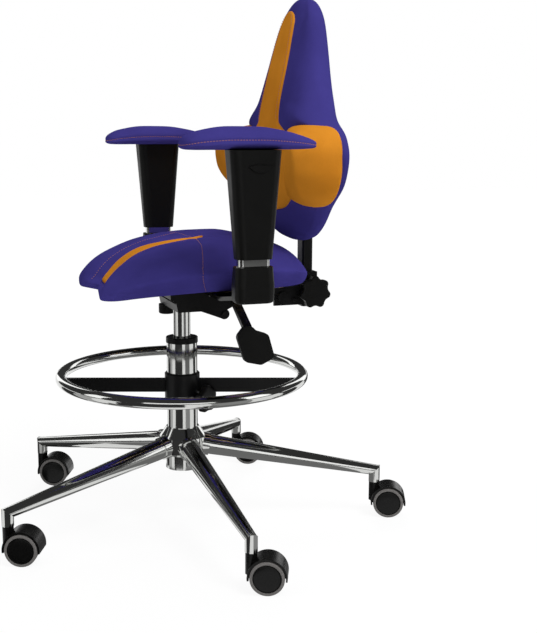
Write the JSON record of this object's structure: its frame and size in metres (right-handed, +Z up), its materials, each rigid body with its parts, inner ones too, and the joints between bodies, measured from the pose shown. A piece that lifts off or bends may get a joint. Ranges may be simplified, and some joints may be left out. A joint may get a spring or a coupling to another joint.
{
  "type": "ergonomic office chair",
  "caption": "Swivel chair on a chrome star base with castors, foot ring, gas lift, height-adjustable arm rests, split saddle seat and a narrow padded backrest with lumbar wings.",
  "frame": {"origin": "on the floor under the axis of the column", "axes": "+Z up along the column, -Y the way the sitter faces, +X to the sitter's left"},
  "size_m": [0.6434, 0.6767, 0.845],
  "materials": {
    "chrome": "polished",
    "steel": "bright",
    "black_plastic": "satin",
    "black_metal": "satin",
    "wheel": "matte",
    "blue_fabric": "matte",
    "orange_fabric": "matte",
    "board": "raw"
  },
  "bodies": {
    "base": {"base_hub": "chrome", "base_legs": "chrome", "column_tube": "chrome", "column_bushes": "black_plastic"},
    "caster_1": {"caster_hood_1": "black_plastic", "caster_pins_1": "steel"},
    "wheel_a_1": {"caster_wheel_a_1": "wheel"},
    "wheel_b_1": {"caster_wheel_b_1": "wheel"},
    "caster_2": {"caster_hood_2": "black_plastic", "caster_pins_2": "steel"},
    "wheel_a_2": {"caster_wheel_a_2": "wheel"},
    "wheel_b_2": {"caster_wheel_b_2": "wheel"},
    "caster_3": {"caster_hood_3": "black_plastic", "caster_pins_3": "steel"},
    "wheel_a_3": {"caster_wheel_a_3": "wheel"},
    "wheel_b_3": {"caster_wheel_b_3": "wheel"},
    "caster_4": {"caster_hood_4": "black_plastic", "caster_pins_4": "steel"},
    "wheel_a_4": {"caster_wheel_a_4": "wheel"},
    "wheel_b_4": {"caster_wheel_b_4": "wheel"},
    "caster_5": {"caster_hood_5": "black_plastic", "caster_pins_5": "steel"},
    "wheel_a_5": {"caster_wheel_a_5": "wheel"},
    "wheel_b_5": {"caster_wheel_b_5": "wheel"},
    "lift_rod": {"piston_rod": "steel"},
    "seat_frame": {"gas_cylinder": "chrome", "mechanism_housing": "black_metal", "seat_plate": "black_metal", "tilt_latch": "black_metal", "pivot_pin": "steel", "seat_pan": "board", "seat_cushion": "blue_fabric", "seat_inlay": "orange_fabric", "seat_screws": "steel", "arm_post_left": "chrome", "arm_base_left": "black_plastic", "arm_post_right": "chrome", "arm_base_right": "black_plastic"},
    "ring_liner": {"foot_ring_liner": "black_plastic"},
    "ring": {"foot_ring": "chrome", "foot_ring_bar": "black_metal", "foot_ring_clamp": "black_metal"},
    "ring_knob": {"foot_ring_knob": "black_plastic"},
    "tension_knob": {"tension_knob": "black_plastic"},
    "tilt_lever": {"tilt_lever": "black_plastic"},
    "lift_lever": {"lift_lever": "black_plastic"},
    "back_arm": {"back_arm": "black_metal"},
    "back_knob": {"back_knob": "black_plastic"},
    "backrest": {"back_upright": "black_metal", "backrest_board": "board", "backrest_cushion": "blue_fabric", "backrest_cover": "blue_fabric", "lumbar_wings": "orange_fabric", "spine_strip": "orange_fabric"},
    "arm_left": {"arm_sleeve_left": "black_plastic", "arm_pad_left": "blue_fabric"},
    "arm_button_left": {"arm_button_left": "black_plastic"},
    "arm_right": {"arm_sleeve_right": "black_plastic", "arm_pad_right": "blue_fabric"},
    "arm_button_right": {"arm_button_right": "black_plastic"}
  },
  "joints": [
    {"name": "caster_swivel_1", "type": "hinge", "parent": "base", "child": "caster_1", "pos_m": [0.31989, 0.00838, 0.057], "axis": [0, 0, 1], "continuous": true},
    {"name": "wheel_spin_a_1", "type": "hinge", "parent": "caster_1", "child": "wheel_a_1", "pos_m": [0.3293, 0.02991, 0.025], "axis": [-0.9164, 0.4003, 0], "continuous": true},
    {"name": "wheel_spin_b_1", "type": "hinge", "parent": "caster_1", "child": "wheel_b_1", "pos_m": [0.3293, 0.02991, 0.025], "axis": [-0.9164, 0.4003, 0], "continuous": true},
    {"name": "caster_swivel_2", "type": "hinge", "parent": "base", "child": "caster_2", "pos_m": [0.09088, 0.30682, 0.057], "axis": [0, 0, 1], "continuous": true},
    {"name": "wheel_spin_a_2", "type": "hinge", "parent": "caster_2", "child": "wheel_a_2", "pos_m": [0.10029, 0.32836, 0.025], "axis": [-0.9164, 0.4003, 0], "continuous": true},
    {"name": "wheel_spin_b_2", "type": "hinge", "parent": "caster_2", "child": "wheel_b_2", "pos_m": [0.10029, 0.32836, 0.025], "axis": [-0.9164, 0.4003, 0], "continuous": true},
    {"name": "caster_swivel_3", "type": "hinge", "parent": "base", "child": "caster_3", "pos_m": [-0.26372, 0.18125, 0.057], "axis": [0, 0, 1], "continuous": true},
    {"name": "wheel_spin_a_3", "type": "hinge", "parent": "caster_3", "child": "wheel_a_3", "pos_m": [-0.25431, 0.20278, 0.025], "axis": [-0.9164, 0.4003, 0], "continuous": true},
    {"name": "wheel_spin_b_3", "type": "hinge", "parent": "caster_3", "child": "wheel_b_3", "pos_m": [-0.25431, 0.20278, 0.025], "axis": [-0.9164, 0.4003, 0], "continuous": true},
    {"name": "caster_swivel_4", "type": "hinge", "parent": "base", "child": "caster_4", "pos_m": [-0.25387, -0.1948, 0.057], "axis": [0, 0, 1], "continuous": true},
    {"name": "wheel_spin_a_4", "type": "hinge", "parent": "caster_4", "child": "wheel_a_4", "pos_m": [-0.24446, -0.17327, 0.025], "axis": [-0.9164, 0.4003, 0], "continuous": true},
    {"name": "wheel_spin_b_4", "type": "hinge", "parent": "caster_4", "child": "wheel_b_4", "pos_m": [-0.24446, -0.17327, 0.025], "axis": [-0.9164, 0.4003, 0], "continuous": true},
    {"name": "caster_swivel_5", "type": "hinge", "parent": "base", "child": "caster_5", "pos_m": [0.10682, -0.30164, 0.057], "axis": [0, 0, 1], "continuous": true},
    {"name": "wheel_spin_a_5", "type": "hinge", "parent": "caster_5", "child": "wheel_a_5", "pos_m": [0.11623, -0.28011, 0.025], "axis": [-0.9164, 0.4003, 0], "continuous": true},
    {"name": "wheel_spin_b_5", "type": "hinge", "parent": "caster_5", "child": "wheel_b_5", "pos_m": [0.11623, -0.28011, 0.025], "axis": [-0.9164, 0.4003, 0], "continuous": true},
    {"name": "seat_swivel", "type": "hinge", "parent": "base", "child": "lift_rod", "pos_m": [0, 0, 0.105], "axis": [0, 0, 1], "continuous": true},
    {"name": "seat_lift", "type": "slide", "parent": "lift_rod", "child": "seat_frame", "axis": [0, 0, 1], "range_m": [-0.03, 0.06]},
    {"name": "ring_slide", "type": "slide", "parent": "base", "child": "ring_liner", "axis": [0, 0, 1], "range_m": [-0.039, 0.03]},
    {"name": "ring_turn", "type": "hinge", "parent": "ring_liner", "child": "ring", "pos_m": [0, 0, 0.223], "axis": [0, 0, 1], "continuous": true},
    {"name": "ring_knob_turn", "type": "hinge", "parent": "ring", "child": "ring_knob", "pos_m": [0.0321, 0.02599, 0.208], "axis": [0.7771, 0.6293, 0], "range_deg": [0, 360]},
    {"name": "tension_turn", "type": "hinge", "parent": "seat_frame", "child": "tension_knob", "pos_m": [-0.042, -0.014, 0.3547], "axis": [0, 0, 1], "range_deg": [-360, 360]},
    {"name": "tilt_lever_turn", "type": "hinge", "parent": "seat_frame", "child": "tilt_lever", "pos_m": [0.1, 0.056, 0.38], "axis": [1, 0, 0], "range_deg": [-12, 15], "stiffness_Nm_per_rad": 1},
    {"name": "lift_lever_turn", "type": "hinge", "parent": "seat_frame", "child": "lift_lever", "pos_m": [-0.12, 0.056, 0.38], "axis": [1, 0, 0], "range_deg": [-12, 12], "stiffness_Nm_per_rad": 1},
    {"name": "back_recline", "type": "hinge", "parent": "seat_frame", "child": "back_arm", "pos_m": [0, 0.166, 0.366], "axis": [-1, 0, 0], "range_deg": [0, 18]},
    {"name": "back_knob_turn", "type": "hinge", "parent": "back_arm", "child": "back_knob", "pos_m": [0.036, 0.2145, 0.3755], "axis": [1, 0, 0], "range_deg": [0, 360]},
    {"name": "back_slide", "type": "slide", "parent": "back_arm", "child": "backrest", "axis": [0, 0, 1], "range_m": [-0.01, 0.045]},
    {"name": "arm_slide_left", "type": "slide", "parent": "seat_frame", "child": "arm_left", "axis": [0, 0, 1], "range_m": [-0.01, 0.06]},
    {"name": "arm_button_press_left", "type": "slide", "parent": "arm_left", "child": "arm_button_left", "axis": [-1, 0, 0], "range_m": [0, 0.003], "stiffness_N_per_m": 400},
    {"name": "arm_slide_right", "type": "slide", "parent": "seat_frame", "child": "arm_right", "axis": [0, 0, 1], "range_m": [-0.01, 0.06]},
    {"name": "arm_button_press_right", "type": "slide", "parent": "arm_right", "child": "arm_button_right", "axis": [1, 0, 0], "range_m": [0, 0.003], "stiffness_N_per_m": 400}
  ]
}
